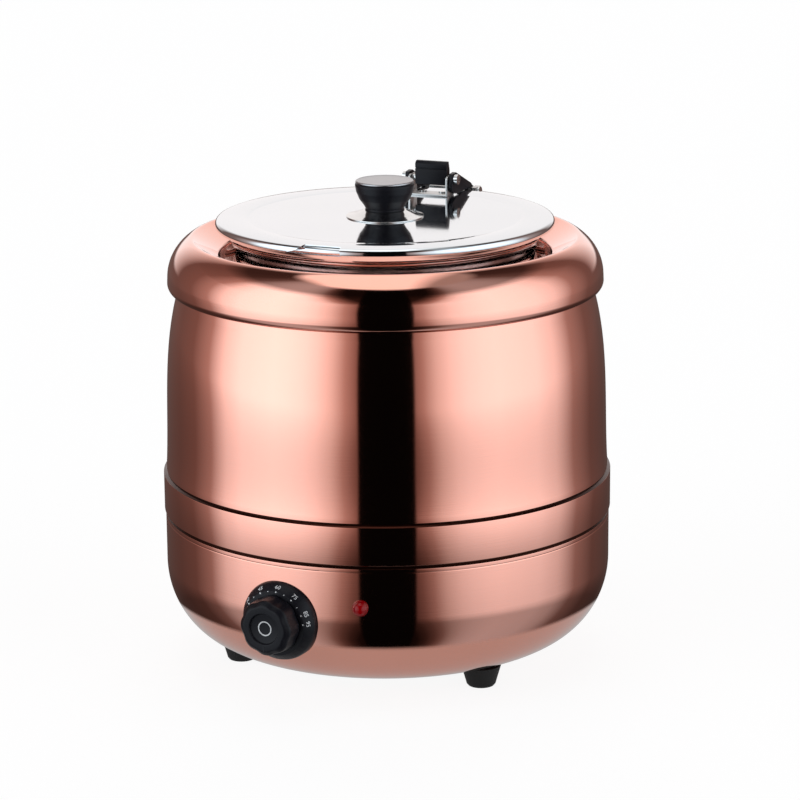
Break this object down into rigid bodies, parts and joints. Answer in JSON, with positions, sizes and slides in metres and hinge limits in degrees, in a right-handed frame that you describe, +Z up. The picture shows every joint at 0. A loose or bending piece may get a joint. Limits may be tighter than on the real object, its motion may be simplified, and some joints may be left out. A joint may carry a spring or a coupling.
{
  "type": "soup kettle",
  "caption": "Electric buffet soup kettle: copper-finished round housing with a water bath, lift-out steel pot with a hinged notched lid, temperature knob and red lamp.",
  "frame": {"origin": "on the floor at the kettle's vertical axis", "axes": "+Z up; the front, midway between knob and lamp, faces -Y; +X is to the right seen from the front"},
  "size_m": [0.34, 0.3862, 0.365],
  "materials": {
    "copper": "mirror-polished copper finish",
    "stainless": "polished stainless steel",
    "bright_steel": "bright nickel plate",
    "zinc_steel": "zinc plate",
    "heater_aluminium": "as cast",
    "black_plastic": "satin moulded black",
    "disc_plastic": "gloss black with a white ring",
    "black_rubber": "matte black",
    "spring_steel": "black oxide",
    "insulation": "mineral wool",
    "switch_plastic": "pale moulded",
    "lead_insulation": "silicone sleeve",
    "lamp_red": "clear red",
    "lamp_glass": "clear"
  },
  "bodies": {
    "housing": {"base_nuts": "zinc_steel", "base_plate": "stainless", "base_screws": "zinc_steel", "bezel_screws": "zinc_steel", "body_shell": "copper", "capillary": "zinc_steel", "cord_gland": "black_plastic", "dial_bezel": "black_plastic", "element_clamp": "zinc_steel", "feet": "black_rubber", "foot_nuts": "zinc_steel", "foot_screws": "zinc_steel", "gland_nut": "black_plastic", "heater_nuts": "zinc_steel", "heater_plate": "heater_aluminium", "heater_studs": "zinc_steel", "heating_element": "zinc_steel", "lamp_bulb": "lamp_glass", "lamp_lens": "lamp_red", "lamp_nut": "zinc_steel", "mains_plug": "black_plastic", "plug_pins": "bright_steel", "power_cord": "black_rubber", "ring_nuts": "zinc_steel", "ring_screws": "zinc_steel", "terminal_block": "switch_plastic", "terminal_screws": "zinc_steel", "thermal_cutout": "switch_plastic", "thermostat_body": "switch_plastic", "thermostat_nut": "zinc_steel", "top_ring": "copper", "water_well": "stainless", "well_insulation": "insulation", "wiring_harness": "lead_insulation"},
    "pot": {"soup_pot": "stainless", "rim_clamp": "stainless", "clamp_screw": "bright_steel", "hinge_pin": "bright_steel", "pin_washers": "bright_steel"},
    "lid": {"lid_pan": "stainless", "lid_knob": "black_plastic", "knob_cap": "bright_steel", "knob_flange": "bright_steel", "knob_screw": "bright_steel", "knob_washer": "bright_steel", "lid_bracket": "stainless", "bracket_rivets": "bright_steel", "hinge_arms": "black_plastic", "thumb_flap": "black_plastic", "bracket_pin": "bright_steel", "pin_nuts": "bright_steel", "lid_spring": "spring_steel"},
    "control": {"control_knob": "black_plastic", "knob_disc": "disc_plastic", "thermostat_shaft": "bright_steel"}
  },
  "joints": [
    {"name": "pot_lift", "type": "slide", "parent": "housing", "child": "pot", "axis": [0, 0, 1], "range_m": [0, 0.3]},
    {"name": "lid_hinge", "type": "hinge", "parent": "pot", "child": "lid", "pos_m": [0.01133, 0.12951, 0.3347], "axis": [-0.9962, 0.0872, 0], "range_deg": [0, 95]},
    {"name": "knob_turn", "type": "hinge", "parent": "housing", "child": "control", "pos_m": [-0.03213, -0.18219, 0.0701], "axis": [-0.1736, -0.9848, 0], "range_deg": [-280, 0]}
  ]
}
